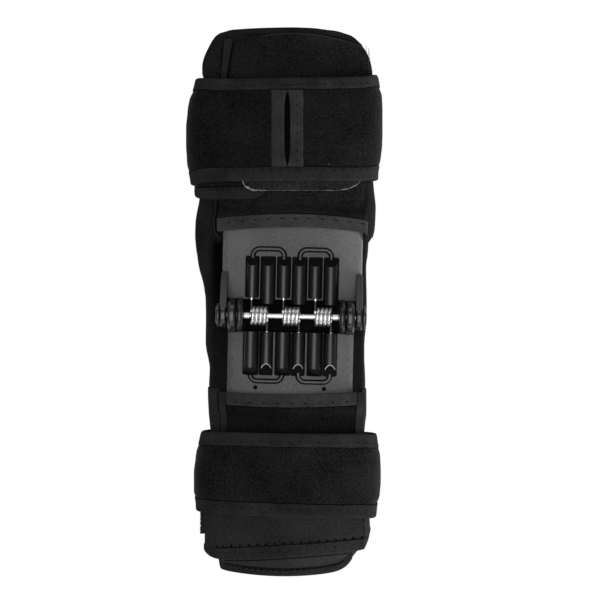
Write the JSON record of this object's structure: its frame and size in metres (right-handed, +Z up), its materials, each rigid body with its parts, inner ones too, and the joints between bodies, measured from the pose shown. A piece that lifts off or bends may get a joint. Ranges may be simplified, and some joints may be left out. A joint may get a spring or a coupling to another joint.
{
  "type": "spring knee brace",
  "caption": "Knee support of padded cloth with hinged plastic shells, torsion springs on the hinge rod that push the shells straight, and wide straps fastened round thigh and shin.",
  "frame": {"origin": "on the floor under the middle of the brace's bounding box, with the brace lying on its back", "axes": "+Z up out of the brace's front, +Y along the leg towards the thigh, +X to the right as the front is seen"},
  "size_m": [0.1442, 0.4, 0.0688],
  "materials": {
    "pile_cloth": "black loop pile on foam",
    "liner_cloth": "black knit-faced padding",
    "binding_tape": "smooth stretch binding tape, stitched",
    "hook_tape": "hook tape with a fuzzy grey edge",
    "shell_plastic": "finely grained dark grey plate with smooth black housings",
    "cap_plastic": "satin black",
    "spring_steel": "bright plated wire",
    "rod_steel": "polished rod"
  },
  "bodies": {
    "root": {"liner": "liner_cloth", "liner_binding_top": "binding_tape", "liner_binding_bottom": "binding_tape", "thigh_cover": "pile_cloth", "thigh_pocket_tape": "binding_tape", "thigh_edge_tape": "binding_tape", "shin_cover": "pile_cloth", "shin_pocket_tape": "binding_tape", "shin_edge_tape_left": "binding_tape", "shin_edge_tape_right": "binding_tape", "thigh_wing": "pile_cloth", "thigh_hook_tab": "hook_tape", "thigh_strap": "pile_cloth", "thigh_strap_binding_upper": "binding_tape", "thigh_strap_binding_lower": "binding_tape", "slit_tape_left": "binding_tape", "slit_tape_right": "binding_tape", "shin_wrap": "pile_cloth", "shin_wrap_binding": "binding_tape", "shin_strap": "pile_cloth", "shin_strap_binding_upper": "binding_tape", "shin_strap_binding_lower": "binding_tape", "upper_shell": "shell_plastic", "lower_shell": "shell_plastic", "hinge_rod": "rod_steel", "pivot_cap_left": "cap_plastic", "pivot_cap_right": "cap_plastic", "spring_left": "spring_steel", "spring_middle": "spring_steel", "spring_right": "spring_steel"}
  },
  "joints": []
}
